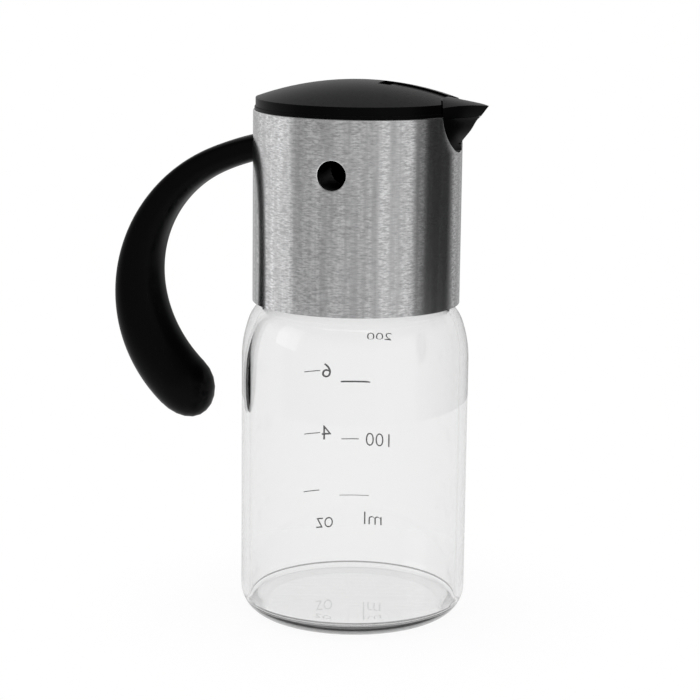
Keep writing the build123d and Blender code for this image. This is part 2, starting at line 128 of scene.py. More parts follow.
def map_range(tree, source, reads, gives=(0.0, 1.0), kind="LINEAR"):
    """Carries a value from one range over to another, straight or by a soft step."""
    node = add_node(tree, "ShaderNodeMapRange", interpolation_type=kind, Value=source)
    for name, value in zip(("From Min", "From Max", "To Min", "To Max"), (*reads, *gives)):
        node.inputs[name].default_value = value
    return node.outputs["Result"]


def mix_shaders(tree, share, first, second):
    """Blends two shaders by a value."""
    node = add_node(tree, "ShaderNodeMixShader")
    for place, value in enumerate((share, first, second)):
        feed(tree, value, node.inputs[place])
    return node.outputs[0]


def object_place(tree):
    """The place of the shaded point on its own object."""
    return add_node(tree, "ShaderNodeTexCoord").outputs["Object"]


def empty_tree(owner):
    """Turns nodes on for a material or a world and clears what Blender put there."""
    owner.use_nodes = True
    owner.node_tree.nodes.clear()
    return owner.node_tree


# %% [markdown]
# ## The light of the studio
#
# Glass and steel show what stands round them more than they show their own colour. The
# world is white where the camera looks past the cruet. In reflections it is a ring of lit
# panels and dark gaps, which draws the upright bands on the collar. Through the glass it is
# white that dims overhead, and on matt surfaces an even fill. A soft panel hangs above, and
# a weaker one lights the handle's side.

# %% World: white to look at, a ring of panels in reflections, a dim ceiling
panel_ring = (
    (-180, 0.92),
    (-157, 0.92),
    (-149, 0.46),
    (-118, 0.46),
    (-95, 0.60),
    (-62, 0.60),
    (-51, 0.80),
    (-15, 0.80),
    (-8, 0.26),
    (0, 0.22),
    (6, 0.03),
    (44, 0.03),
    (57, 0.45),
    (104, 0.45),
    (135, 0.62),
    (165, 0.92),
    (180, 0.92),
)
fill_level = 0.62
ceiling_rise = (0.25, 0.60)
ceiling_level = 0.30
white = (1, 1, 1, 1)

world = bpy.data.worlds.new("studio")
bpy.context.scene.world = world
tree = empty_tree(world)
looking = add_node(tree, "ShaderNodeTexCoord").outputs["Generated"]
direction = add_node(tree, "ShaderNodeSeparateXYZ", Vector=looking)
bearing = calculate(tree, "ARCTAN2", direction.outputs["Y"], direction.outputs["X"])
ring = add_node(tree, "ShaderNodeValToRGB")
stops = ring.color_ramp.elements
for number, (angle, level) in enumerate(panel_ring):
    place = (angle + 180) / 360
    stop = stops[number] if number < 2 else stops.new(place)
    stop.position = place
    stop.color = (level, level, level, 1)
feed(tree, calculate(tree, "MULTIPLY_ADD", bearing, 1 / (2 * math.pi), 0.5), ring.inputs["Fac"])
ceiling = map_range(
    tree, direction.outputs["Z"], ceiling_rise, (1.0, ceiling_level), kind="SMOOTHSTEP"
)


def backdrop(tree, colour, strength):
    """A Background shader."""
    return add_node(tree, "ShaderNodeBackground", Color=colour, Strength=strength).outputs[0]


rays = add_node(tree, "ShaderNodeLightPath").outputs
panels = backdrop(tree, ring.outputs["Color"], ceiling)
lit = mix_shaders(tree, rays["Is Glossy Ray"], backdrop(tree, white, fill_level), panels)
lit = mix_shaders(tree, rays["Is Transmission Ray"], lit, backdrop(tree, white, ceiling))
seen = mix_shaders(tree, rays["Is Camera Ray"], lit, backdrop(tree, white, 1.0))
add_node(tree, "ShaderNodeOutputWorld", Surface=seen)
print("panels in the ring:", len(panel_ring))


# %% Soft lamps
def soft_panel(name, place, target, width, power):
    """A square area lamp that faces a point."""
    bpy.ops.object.light_add(type="AREA", location=place)
    lamp = bpy.context.object
    lamp.name = name
    lamp.data.size = width
    lamp.data.energy = power
    lamp.visible_glossy = False
    lamp.rotation_mode = "QUATERNION"
    lamp.rotation_quaternion = (Vector(target) - Vector(place)).to_track_quat("-Z", "Y")
    print(name, "of", width, "m,", power, "W")


soft_panel("panel_above", place=(0.0, -0.15, 0.95), target=(0, 0, 0.08), width=0.7, power=3.4)
soft_panel("panel_left", place=(-0.8, -0.35, 0.45), target=(-0.03, 0, 0.09), width=0.5, power=1.2)

# %% [markdown]
# ## The floor
#
# The cruet stands on a white sweep that melts into the background. A disc of matt white keeps
# the shadow and what the steel reflects. To the camera and through the glass it mostly
# glows, so that it is as white as the backdrop, and glows a little less under and round the jar,
# as painted shade.

# %% Floor that looks white and keeps the shadow
floor_reach = 0.30
floor_white = (0.86, 0.86, 0.86, 1)
mirrored_glow = 0.5
painted_shade_reach = (0.028, 0.09)
painted_shade_glow = 0.93

bpy.ops.mesh.primitive_circle_add(
    vertices=96, radius=floor_reach, fill_type="NGON", location=(0, 0, 0)
)
floor = bpy.context.object
floor.name = "floor"
floor_paint = bpy.data.materials.new("floor_paint")
tree = empty_tree(floor_paint)
rays = add_node(tree, "ShaderNodeLightPath").outputs
paint = add_node(tree, "ShaderNodeBsdfDiffuse", Color=floor_white)
glow = add_node(tree, "ShaderNodeEmission", Color=white, Strength=1.0)
seen = calculate(tree, "MAXIMUM", rays["Is Camera Ray"], rays["Is Transmission Ray"])
mirrored = calculate(tree, "MULTIPLY", rays["Is Glossy Ray"], mirrored_glow)
seen = calculate(tree, "MAXIMUM", seen, mirrored)
from_jar = add_node(tree, "ShaderNodeVectorMath", operation="LENGTH", Vector=object_place(tree))
# Painted shade: the glow is lowered under and round the jar, whatever the lamps cast there.
glow_share = map_range(
    tree, from_jar.outputs["Value"], painted_shade_reach, (painted_shade_glow, 1.0), kind="SMOOTHSTEP"
)
share = calculate(tree, "MULTIPLY", seen, glow_share)
surface = mix_shaders(tree, share, paint.outputs[0], glow.outputs[0])
add_node(tree, "ShaderNodeOutputMaterial", Surface=surface)
floor.data.materials.append(floor_paint)
print("floor radius:", floor_reach, "m")

# %% [markdown]
# ## Effects that several finishes share
#
# A node group is a small tool that is built once and placed in each material with its own
# values. `brush_lines` draws the fine short scratches that an abrasive belt leaves round a
# tube, the upright streaks across them and broad soft clouds. `moulded_grain` is the faint,
# even texture of a plastic moulding, and the third group paints a sheen on what faces up.


# %% Start a node group, and place it
def new_group(name, takes, gives):
    """An empty shader node group with named sockets; takes holds each input's usual value."""
    group = bpy.data.node_groups.new(name, "ShaderNodeTree")
    sockets = group.interface
    for label, value in takes.items():
        socket = sockets.new_socket(name=label, in_out="INPUT", socket_type="NodeSocketFloat")
        socket.default_value = value
    for label in gives:
        sockets.new_socket(name=label, in_out="OUTPUT", socket_type="NodeSocketFloat")
    start, end = add_node(group, "NodeGroupInput"), add_node(group, "NodeGroupOutput")
    print("group made:", name)
    return group, start.outputs, end.inputs


def place_group(tree, group, **values):
    """Puts a node group in a material with its own values and returns its outputs."""
    node = add_node(tree, "ShaderNodeGroup", node_tree=group)
    for name, value in values.items():
        node.inputs[name.replace("_", " ")].default_value = value
    return node.outputs


def noise(tree, place, scale, **settings):
    """Noise from 0 to 1 at a place; a larger scale is a finer noise."""
    node = add_node(tree, "ShaderNodeTexNoise", Vector=place, Scale=scale, **settings)
    return node.outputs["Fac"]


# %% Brush lines round an upright tube
mm_in_a_metre = 1000.0
streak_stretch = (1, 1, 0.03)
streak_scale, cloud_scale = 300.0, 70.0

brush_lines, takes, gives = new_group(
    "brush_lines",
    {"Length": 1.6, "Pitch": 0.42, "Contrast": 3.2},
    ("Lines", "Streaks", "Cloud"),
)
tree = brush_lines
place = object_place(tree)
split = add_node(tree, "ShaderNodeSeparateXYZ", Vector=place).outputs
along = calculate(tree, "DIVIDE", mm_in_a_metre, takes["Length"])
across = calculate(tree, "DIVIDE", mm_in_a_metre, takes["Pitch"])
stretched = add_node(tree, "ShaderNodeCombineXYZ")
for axis, stretch in (("X", along), ("Y", along), ("Z", across)):
    feed(tree, calculate(tree, "MULTIPLY", split[axis], stretch), stretched.inputs[axis])
scratches = noise(tree, stretched.outputs[0], 1.0, Detail=3.0, Roughness=0.65)
sharper = calculate(
    tree, "MULTIPLY", calculate(tree, "SUBTRACT", scratches, 0.5), takes["Contrast"]
)
upright = add_node(tree, "ShaderNodeMapping", Vector=place, Scale=streak_stretch)
bands = noise(tree, upright.outputs[0], streak_scale, Detail=3.0, Roughness=0.6)
worn = map_range(tree, bands, (0.38, 0.60), (0.4, 1.5))
lines = calculate(tree, "ADD", calculate(tree, "MULTIPLY", sharper, worn), 0.5, clamp=True)
feed(tree, lines, gives["Lines"])
feed(tree, bands, gives["Streaks"])
feed(tree, noise(tree, place, cloud_scale, Detail=2.0), gives["Cloud"])

# %% Grain of a plastic moulding
moulded_grain, takes, gives = new_group("moulded_grain", {"Size": 0.35}, ("Height", "Cloud"))
tree = moulded_grain
place = object_place(tree)
grain_scale = calculate(tree, "DIVIDE", mm_in_a_metre, takes["Size"])
feed(tree, noise(tree, place, grain_scale, Detail=2.0), gives["Height"])
feed(tree, noise(tree, place, 45.0, Detail=3.0), gives["Cloud"])

# %% Painted sheen on what faces up
top_sheen_facing = (0.55, 0.95)

# Painted sheen: the colour is lightened on faces that point up, speckled by a fine noise.
painted_top_sheen, takes, gives = new_group("painted_top_sheen", {"Amount": 1.0}, ("Mask",))
tree = painted_top_sheen
normal = add_node(tree, "ShaderNodeNewGeometry").outputs["Normal"]
facing = add_node(tree, "ShaderNodeSeparateXYZ", Vector=normal).outputs["Z"]
level_share = map_range(tree, facing, top_sheen_facing, kind="SMOOTHSTEP")
specks = noise(tree, object_place(tree), 900.0, Detail=2.0)
top_sheen_share = calculate(tree, "MULTIPLY", level_share, calculate(tree, "ADD", specks, 0.5))
feed(tree, calculate(tree, "MULTIPLY", top_sheen_share, takes["Amount"], clamp=True), gives["Mask"])

# %% [markdown]
# ## The finishes
#
# Each finish is one material round a Principled shader. Plain numbers sit on the shader;
# only what changes over the surface comes in through a node: a colour between two, a
# roughness between two, and a bump made from a height.


# %% Start a finish, and vary it over the surface
def new_finish(name, **values):
    """A material with one Principled shader; returns the material, its nodes and the shader."""
    finish = bpy.data.materials.new(name)
    tree = empty_tree(finish)
    shader = add_node(tree, "ShaderNodeBsdfPrincipled", **values)
    add_node(tree, "ShaderNodeOutputMaterial", Surface=shader.outputs[0])
    print("finish made:", name)
    return finish, tree, shader


def shade_between(tree, source, dark, light):
    """A colour between two, by a value; each is three plain numbers or a socket."""
    node = add_node(tree, "ShaderNodeMix", data_type="RGBA", Factor=source)
    places = [socket for socket in node.inputs if socket.type == "RGBA"]
    for socket, colour in zip(places, (dark, light)):
        feed(tree, (*colour, 1) if isinstance(colour, tuple) else colour, socket)
    return [socket for socket in node.outputs if socket.type == "RGBA"][0]


def vary(tree, shader, colour, roughness_by, roughness, height=None, strength=0.0, depth=0.0):
    """Feeds a shader a colour, a roughness between two by a value and, from a height, a bump."""
    feed(tree, colour, shader.inputs["Base Color"])
    feed(tree, map_range(tree, roughness_by, (0.0, 1.0), roughness), shader.inputs["Roughness"])
    if height is not None:
        lumps = add_node(tree, "ShaderNodeBump", Height=height, Strength=strength, Distance=depth)
        feed(tree, lumps.outputs[0], shader.inputs["Normal"])


# %% [markdown]
# ### Clear glass
#
# Real glass is clear by itself, and the jar's dark outlines come from the dark things round
# it. The studio here is white almost all round, so the outlines are painted: the glass's
# colour is darkened as painted shade where it is seen edge-on and on the crease of the floor,
# and its body absorbs a little. Its shadow is let through, because light that bends through glass
# is slow to find.

# %% Clear glass
edge_on_starts = (0.84, 1.0)
edge_on_share = 0.6
painted_edge_shade = (0.16, 0.16, 0.16)

clear_glass, tree, shader = new_finish(
    "clear_glass", Base_Color=white, Roughness=0.0, IOR=1.47, Transmission_Weight=1.0
)
output = shader.outputs[0].links[0].to_node
shadow_rays = add_node(tree, "ShaderNodeLightPath").outputs["Is Shadow Ray"]
let_through = add_node(tree, "ShaderNodeBsdfTransparent", Color=(0.93, 0.93, 0.93, 1))
surface = mix_shaders(tree, shadow_rays, shader.outputs[0], let_through.outputs[0])
feed(tree, surface, output.inputs["Surface"])
# Painted shade: the glass colour turns grey where it is seen edge-on and on the marked crease.
edge_on = add_node(tree, "ShaderNodeLayerWeight", Blend=0.5).outputs["Facing"]
darker = map_range(tree, edge_on, edge_on_starts, (0.0, edge_on_share), kind="SMOOTHSTEP")
corner = add_node(tree, "ShaderNodeAttribute", attribute_name="painted_crease_shade").outputs["Fac"]
edges = calculate(tree, "MAXIMUM", darker, corner)
feed(tree, shade_between(tree, edges, (1.0, 1.0, 1.0), painted_edge_shade), shader.inputs["Base Color"])
tint = add_node(tree, "ShaderNodeVolumeAbsorption", Color=(0.80, 0.80, 0.80, 1), Density=150.0)
feed(tree, tint.outputs[0], output.inputs["Volume"])

# %% [markdown]
# ### Brushed steel
#
# The scratches run round the collar, so a highlight spreads up and down across them. The
# anisotropic shader does that spreading, with a tangent that runs round the upright axis,
# and the scratches give it tone, roughness and a very shallow bump. The cut edges are bare
# metal, and their colour is lifted all round each cut as a painted highlight.

# %% Brushed steel
brushed_steel, tree, shader = new_finish(
    "brushed_steel", Metallic=1.0, Anisotropic=0.6, Anisotropic_Rotation=0.25
)
brush = place_group(tree, brush_lines)
around = add_node(tree, "ShaderNodeTangent", direction_type="RADIAL", axis="Z")
feed(tree, around.outputs[0], shader.inputs["Tangent"])
tone = calculate(tree, "MULTIPLY", brush["Lines"], 0.5)
tone = calculate(tree, "ADD", tone, calculate(tree, "MULTIPLY_ADD", brush["Streaks"], 1.0, -0.25))
# Painted highlight: the marked cut edges take the lightest steel colour.
bare_edge_glint = add_node(tree, "ShaderNodeAttribute", attribute_name="cut_edge_glint").outputs["Fac"]
tone = calculate(tree, "MAXIMUM", tone, bare_edge_glint)
steel = shade_between(tree, tone, (0.24, 0.24, 0.245), (0.94, 0.94, 0.95))
vary(tree, shader, steel, brush["Lines"], (0.25, 0.18), brush["Lines"], 0.12, 0.02 * mm)

# %% [markdown]
# ### Black plastic, the soft grip and the rest
#
# The mouldings are nearly black with a faint sheen, and a painted sheen, a lighter colour on
# what faces up, is what tells the lid from the spout. The grip is the same but softer. The seal
# is milky silicone.
# The pin, the slug, the plate and the screws are plain turned steel.


# %% Black mouldings
def black_moulding(name, sheen, size, top_sheen_amount, dark, light, top_sheen_tone, roughness, strength):
    """A nearly black plastic with a fine grain and a painted sheen on what faces up."""
    finish, tree, shader = new_finish(name, Specular_IOR_Level=sheen)
    grain = place_group(tree, moulded_grain, Size=size)
    # The mask below paints a lighter colour, a painted sheen, on what faces up.
    top_sheen = place_group(tree, painted_top_sheen, Amount=top_sheen_amount)
    base = shade_between(tree, grain["Cloud"], dark, light)
    colour = shade_between(tree, top_sheen["Mask"], base, (top_sheen_tone, top_sheen_tone, top_sheen_tone))
    vary(tree, shader, colour, grain["Cloud"], roughness, grain["Height"], strength, 0.03 * mm)
    return finish


black_plastic = black_moulding(
    "black_plastic",
    sheen=0.045,
    size=0.35,
    top_sheen_amount=1.0,
    dark=(0.0009, 0.0009, 0.0010),
    light=(0.0016, 0.0016, 0.0018),
    top_sheen_tone=0.021,
    roughness=(0.24, 0.32),
    strength=0.12,
)
black_grip = black_moulding(
    "black_grip",
    sheen=0.06,
    size=0.5,
    top_sheen_amount=0.8,
    dark=(0.0006, 0.0006, 0.0008),
    light=(0.0012, 0.0012, 0.0016),
    top_sheen_tone=0.018,
    roughness=(0.30, 0.38),
    strength=0.10,
)

# %% Silicone of the seal
clear_silicone, tree, shader = new_finish(
    "clear_silicone",
    Transmission_Weight=0.6,
    IOR=1.41,
    Subsurface_Weight=0.2,
    Subsurface_Scale=0.002,
)
grain = place_group(tree, moulded_grain, Size=0.8)
milky = shade_between(tree, grain["Cloud"], (0.80, 0.81, 0.80), (0.88, 0.89, 0.88))
vary(tree, shader, milky, grain["Cloud"], (0.35, 0.50), grain["Height"], 0.1, 0.05 * mm)

# %% Plain turned steel of the pin, slug, plate and screws
plain_steel, tree, shader = new_finish("plain_steel", Metallic=1.0)
brush = place_group(tree, brush_lines, Length=1.2, Pitch=0.12, Contrast=1.6)
steel = shade_between(tree, brush["Cloud"], (0.52, 0.52, 0.53), (0.66, 0.66, 0.67))
vary(tree, shader, steel, brush["Lines"], (0.38, 0.22), brush["Lines"], 0.15, 0.02 * mm)

# %% [markdown]
# ## Shaping by hand
#
# A turned piece starts as one point. The point is pulled along to trace half of the outline,
# with the spin tool for each rounded corner, and the finished outline is spun once about the
# upright axis. These helpers are the moves a hand would make: pick up one object, go into
# edit mode, start from a point, pull, round, turn, and close the shell.


# %% Moves for modelling
# Points closer than this many metres are one: made twice, met at a seam, met at the axis.
twin_gap, seam_gap, axis_gap = 1e-7, 1e-6, 5e-6


def only(obj):
    """Leaves just this object selected and active."""
    bpy.ops.object.select_all(action="DESELECT")
    obj.select_set(True)
    bpy.context.view_layer.objects.active = obj


def edit_all():
    """Goes into edit mode and selects everything."""
    bpy.ops.object.mode_set(mode="EDIT")
    bpy.ops.mesh.select_all(action="SELECT")


def close_shell(gap):
    """Joins points that lie closer than a gap, points the faces outwards, leaves edit mode."""
    bpy.ops.mesh.select_all(action="SELECT")
    bpy.ops.mesh.remove_doubles(threshold=gap)
    bpy.ops.mesh.normals_make_consistent(inside=False)
    bpy.ops.object.mode_set(mode="OBJECT")


def start_outline(name, x, z):
    """A new object in edit mode with a single point in the XZ plane: a tiny plane, merged."""
    bpy.ops.object.select_all(action="DESELECT")
    bpy.ops.mesh.primitive_plane_add(size=mm, location=(0, 0, 0))
    obj = bpy.context.object
    obj.name = obj.data.name = name
    edit_all()
    bpy.ops.mesh.merge(type="CENTER")
    bpy.ops.transform.translate(value=(x * mm, 0, z * mm))
    return obj


def pull(x, z):
    """Extrudes the outline's last point by a step, in millimetres."""
    bpy.ops.mesh.extrude_vertices_move(TRANSFORM_OT_translate={"value": (x * mm, 0, z * mm)})


def pull_straight(x, z, ends=0.4):
    """A straight run with a point near each end, which keeps the shading of the bends off it."""
    share = ends / math.hypot(x, z)
    pull(x * share, z * share)
    pull(x * (1 - 2 * share), z * (1 - 2 * share))
    pull(x * share, z * share)


def round_about(centre, degrees, steps):
    """Spins what is selected about a centre in the XZ plane."""
    middle = (centre[0] * mm, 0, centre[1] * mm)
    bpy.ops.mesh.spin(steps=steps, angle=math.radians(degrees), center=middle, axis=(0, 1, 0))


def turn_outline(steps):
    """Spins the whole outline about the upright axis and closes it at its seam and poles."""
    bpy.ops.mesh.select_all(action="SELECT")
    bpy.ops.mesh.spin(steps=steps, angle=2 * math.pi, center=(0, 0, 0), axis=(0, 0, 1))
    close_shell(axis_gap)


def dress(obj, finish, body, slot, *nodes):
    """Gives a piece its finish and body and hides the CAD nodes it stands for; slot is not used.
    """
    obj.data.materials.clear()
    obj.data.materials.append(finish)
    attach(obj, body)
    if nodes:
        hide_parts(*nodes)
    print(obj.name, "has", len(obj.data.polygons), "faces and rides on", body)


# %% [markdown]
# ## The glass jar
#
# The jar is clear glass of even thickness: a flat floor, a rounded heel, a straight body, a
# shoulder made of a long and a short arc, and a neck with a thread outside. Glass shows both
# of its surfaces, so the inside is traced as carefully as the outside, in one line that
# starts under the floor, runs up the outside, over the rim and down to the floor's top.

# %% Trace the jar and turn it
jar_radius = 33.0
jar_wall = 2.4
jar_floor = 4.2
heel_round, heel_steps = 8.0, 16
inner_heel_round, inner_heel_steps = 1.2, 8
body_top = 76.0
long_centre, long_degrees, long_steps = (-0.957, 76.0), 19.852, 8
short_centre, short_degrees, short_steps = (21.2, 84.0), 41.528, 14
hollow_centre, hollow_degrees, hollow_steps = (26.9, 94.446), 61.38, 8
neck_radius = 25.4
neck_top = 108.946
rim_round, rim_steps = 1.0, 6
turn_steps = 192
rim_level = neck_top - rim_round
neck_run = rim_level - hollow_centre[1]
inner_heel_centre = (jar_radius - jar_wall - inner_heel_round, jar_floor + inner_heel_round)

jar_glass = start_outline("jar_glass", 0, 0)
pull_straight(jar_radius - heel_round, 0)
round_about((jar_radius - heel_round, heel_round), 90, heel_steps)
pull_straight(0, body_top - heel_round)
round_about(long_centre, long_degrees, long_steps)
round_about(short_centre, short_degrees, short_steps)
round_about(hollow_centre, -hollow_degrees, hollow_steps)
pull_straight(0, neck_run)
round_about((neck_radius - rim_round, rim_level), 90, rim_steps)
pull(2 * rim_round - jar_wall, 0)
round_about((neck_radius - jar_wall + rim_round, rim_level), 90, rim_steps)
pull_straight(0, -neck_run)
round_about(hollow_centre, hollow_degrees, hollow_steps)
round_about(short_centre, -short_degrees, short_steps)
round_about(long_centre, -long_degrees, long_steps)
pull_straight(0, jar_floor + inner_heel_round - body_top)
round_about(inner_heel_centre, -90, inner_heel_steps)
pull_straight(-inner_heel_centre[0], 0)
turn_outline(turn_steps)
print("jar outline turned:", len(jar_glass.data.vertices), "points")

# %% [markdown]
# ## The thread on the neck
#
# A moulded thread is one blunt ridge that climbs round the neck. It could be drawn along a
# curve, but the screw tool is closer to what it is: a small closed outline is carried round
# the axis and up at once, its two ends are filled, and the ridge is joined on to the glass,
# so that jar and thread are one closed shell.

# %% Raise the thread on the neck
thread_pitch, thread_turns = 4.0, 2
thread_steps = 96
thread_start = 2.2
thread_height = hollow_centre[1] + thread_start
thread_sink, thread_depth = 0.4, 1.1
tip_half, root_half = 0.45, 1.132
# The ridge starts a little way round, so that its corners don't fall on the jar's own edges.
ridge_turn = 0.9
ridge_foot = thread_height - root_half + thread_pitch * ridge_turn / 360


def cut_or_join(piece, tool, operation):
    """Cuts one solid out of another or joins it on, and deletes the tool."""
    only(piece)
    change = piece.modifiers.new("change", "BOOLEAN")
    change.operation, change.solver, change.object = operation, "EXACT", tool
    bpy.ops.object.modifier_apply(modifier=change.name)
    bpy.data.objects.remove(tool)


ridge = start_outline("ridge", neck_radius - thread_sink, ridge_foot)
pull(thread_sink + thread_depth, root_half - tip_half)
pull(0, 2 * tip_half)
pull(-thread_sink - thread_depth, root_half - tip_half)
pull(0, -2 * root_half)
close_shell(seam_gap)
climb = ridge.modifiers.new("climb", "SCREW")
climb.axis, climb.angle = "Z", 2 * math.pi
climb.steps = climb.render_steps = thread_steps
climb.screw_offset, climb.iterations = thread_pitch * mm, thread_turns
bpy.ops.object.modifier_apply(modifier=climb.name)
edit_all()
bpy.ops.mesh.fill_holes(sides=4)
bpy.ops.mesh.normals_make_consistent(inside=False)
bpy.ops.object.mode_set(mode="OBJECT")
ridge.rotation_euler.z = math.radians(ridge_turn)
only(ridge)
bpy.ops.object.transform_apply(rotation=True)
cut_or_join(jar_glass, ridge, "UNION")
bpy.ops.object.shade_smooth_by_angle(angle=math.radians(30))
print("jar with its thread:", len(jar_glass.data.vertices), "points")

# %% [markdown]
# ## The crease of the floor
#
# Where the inner wall meets the floor, a real jar shows a thin dark ellipse. A face attribute
# marks the upper faces of that tight bend, and the glass finish paints shade into what is marked.

# %% Mark the crease for its painted shade and dress the jar
crease_radius = (jar_radius - jar_wall - 0.01) * mm
crease_start = 0.65

# The faces marked here get painted shade in the glass finish.
painted_crease_shade = jar_glass.data.attributes.new("painted_crease_shade", "FLOAT", "FACE")
for face in jar_glass.data.polygons:
    above_floor = face.center.z / mm - jar_floor
    inside = math.hypot(face.center.x, face.center.y) < crease_radius
    in_crease = inside and crease_start < above_floor < inner_heel_round
    painted_crease_shade.data[face.index].value = float(in_crease)
dress(jar_glass, clear_glass, "jar", "clear_glass", "glass_jar")

# %% [markdown]
# ## The printed scale
#
# The back of the jar carries a thin grey scale, in ounces and in millilitres, which the
# camera sees through the glass and so reads backwards. Each mark is made flat, as type or as
# a narrow bar with a little thickness, and is then bent round the jar: what ran sideways now
# runs round it, and what ran up follows the wall and the start of the shoulder.

# %% Ink
grey_ink, tree, shader = new_finish("grey_ink", Specular_IOR_Level=0.2)
grain = place_group(tree, moulded_grain, Size=0.25)
grey = shade_between(tree, grain["Cloud"], (0.030, 0.030, 0.032), (0.055, 0.055, 0.058))
vary(tree, shader, grey, grain["Height"], (0.55, 0.75))


# %% Moves for a print
ink_depth = 0.03
long_radius = 33.957


def wall_at(height):
    """The jar's outer radius at a height: the straight body, then the shoulder's long arc."""
    over = max(height - body_top, 0)
    return long_centre[0] + math.sqrt(long_radius**2 - over**2)


def round_length(bearings):
    """Length round the jar between two bearings in degrees, in millimetres."""
    return math.radians(bearings[1] - bearings[0]) * jar_radius


def wrap_round_jar(piece, bearings, height):
    """Closes a flat mark and bends it round the jar, midway between two bearings."""
    only(piece)
    edit_all()
    close_shell(twin_gap)
    for point in piece.data.vertices:
        level = height + point.co.y / mm
        reach = wall_at(level) * mm + point.co.z
        turn = math.radians((bearings[0] + bearings[1]) / 2) + point.co.x / (jar_radius * mm)
        point.co = (reach * math.cos(turn), reach * math.sin(turn), level * mm)
    return piece


def print_words(words, bearings, height, tall, thin=0.012):
    """Type between two bearings, centred on a height, this tall in millimetres."""
    bpy.ops.object.select_all(action="DESELECT")
    bpy.ops.object.text_add(location=(0, 0, 0))
    piece = bpy.context.object
    piece.data.body = words
    piece.data.align_x, piece.data.align_y = "CENTER", "CENTER"
    piece.data.offset, piece.data.extrude, piece.data.resolution_u = -thin, 0.01, 5
    bpy.ops.object.convert(target="MESH")
    places = [point.co.copy() for point in piece.data.vertices]
    low = [min(place[i] for place in places) for i in range(3)]
    high = [max(place[i] for place in places) for i in range(3)]
    for point in piece.data.vertices:
        share = [(point.co[i] - low[i]) / (high[i] - low[i]) for i in range(3)]
        point.co = (
            (share[0] - 0.5) * round_length(bearings) * mm,
            (share[1] - 0.5) * tall * mm,
            share[2] * ink_depth * mm,
        )
    return wrap_round_jar(piece, bearings, height)


def print_bar(bearings, height, thick):
    """A level bar between two bearings."""
    bpy.ops.object.select_all(action="DESELECT")
    bpy.ops.mesh.primitive_grid_add(
        x_subdivisions=16, y_subdivisions=1, size=1, location=(0, 0, 0)
    )
    piece = bpy.context.object
    edit_all()
    bpy.ops.transform.resize(value=(round_length(bearings) * mm, thick * mm, 1))
    bpy.ops.mesh.extrude_region_move(TRANSFORM_OT_translate={"value": (0, 0, ink_depth * mm)})
    bpy.ops.object.mode_set(mode="OBJECT")
    return wrap_round_jar(piece, bearings, height)


def gather(pieces, name):
    """Joins pieces into one object with a name."""
    only(pieces[0])
    for piece in pieces[1:]:
        piece.select_set(True)
    bpy.ops.object.join()
    pieces[0].name = pieces[0].data.name = name
    return pieces[0]


# %% Numbers and units
slim_digit = 0.004
scale_numbers = gather(
    [
        print_words("200", (83.5, 97.6), 77.2, 3.8),
        print_words("100", (83.7, 97.5), 43.9, 4.1),
        print_words("ml", (87.7, 97.9), 18.8, 4.0),
        print_words("6", (117.6, 122.8), 65.4, 4.5, slim_digit),
        print_words("4", (117.2, 122.6), 46.2, 4.5, slim_digit),
        print_words("oz", (115.6, 125.4), 17.5, 3.3),
    ],
    "scale_numbers",
)
dress(scale_numbers, grey_ink, "jar", "black_plastic")

# %% Graduation marks
bar_thick = 0.28
fine_bar = 0.7 * bar_thick
scale_ticks = gather(
    [
        print_bar((95.4, 112.0), 61.8, fine_bar),
        print_bar((101.5, 111.2), 43.9, bar_thick),
        print_bar((95.4, 112.0), 26.0, fine_bar),
        print_bar((123.9, 133.6), 65.4, bar_thick),
        print_bar((123.6, 133.4), 46.2, bar_thick),
        print_bar((123.7, 133.5), 28.0, bar_thick),
    ],
    "scale_ticks",
)
dress(scale_ticks, grey_ink, "jar", "black_plastic")

# %% [markdown]
# ## The steel collar
#
# A sleeve like this is punched as a flat strip, bent into a tube and welded at the back. It
# is made the same way here: a flat plate, round cutters for the notch and the holes, a small
# bevel on the outer edges, which is what catches the light round each cut, and then the bend.

# %% Plate and punches
collar_radius = 30.0
sheet = 0.6
collar_foot, collar_top = 92.996, 147.996
plate_half = math.pi * collar_radius
notch_height, notch_radius = 149.396, 12.3
vent_height, vent_radius = 132.496, 4.1
screw_height, screw_aside, screw_hole = 134.796, 4, 1.35


def punch(bearing, offset, height, radius):
    """A cutter, 3 mm long, that stands on the flat plate; its cut is round after the bend."""
    bpy.ops.object.select_all(action="DESELECT")
    bpy.ops.mesh.primitive_circle_add(
        vertices=96,
        radius=radius * mm,
        fill_type="NGON",
        location=(offset * mm, height * mm, -mm),
    )
    cutter = bpy.context.object
    bpy.ops.object.transform_apply(location=True)
    edit_all()
    bpy.ops.mesh.extrude_region_move(TRANSFORM_OT_translate={"value": (0, 0, 3 * mm)})
    close_shell(twin_gap)
    for point in cutter.data.vertices:
        turn = math.radians(bearing) + math.asin(point.co.x / (collar_radius * mm))
        point.co.x = turn * collar_radius * mm
    return cutter


bpy.ops.object.select_all(action="DESELECT")
bpy.ops.mesh.primitive_cube_add(
    size=1, location=(0, (collar_foot + collar_top) / 2 * mm, sheet / 2 * mm)
)
steel_collar = bpy.context.object
steel_collar.name = steel_collar.data.name = "steel_collar"
bpy.ops.transform.resize(
    value=(2 * plate_half * mm, (collar_top - collar_foot) * mm, sheet * mm)
)
bpy.ops.object.transform_apply(location=True, scale=True)
for cut in (
    (0, 0, notch_height, notch_radius),
    (-90, 0, vent_height, vent_radius),
    (90, 0, vent_height, vent_radius),
    (-180, screw_aside, screw_height, screw_hole),
    (180, -screw_aside, screw_height, screw_hole),
):
    cut_or_join(steel_collar, punch(*cut), "DIFFERENCE")
print("punched plate:", len(steel_collar.data.polygons), "faces")

# %% Ease the outer edges
edge_ease = 0.3

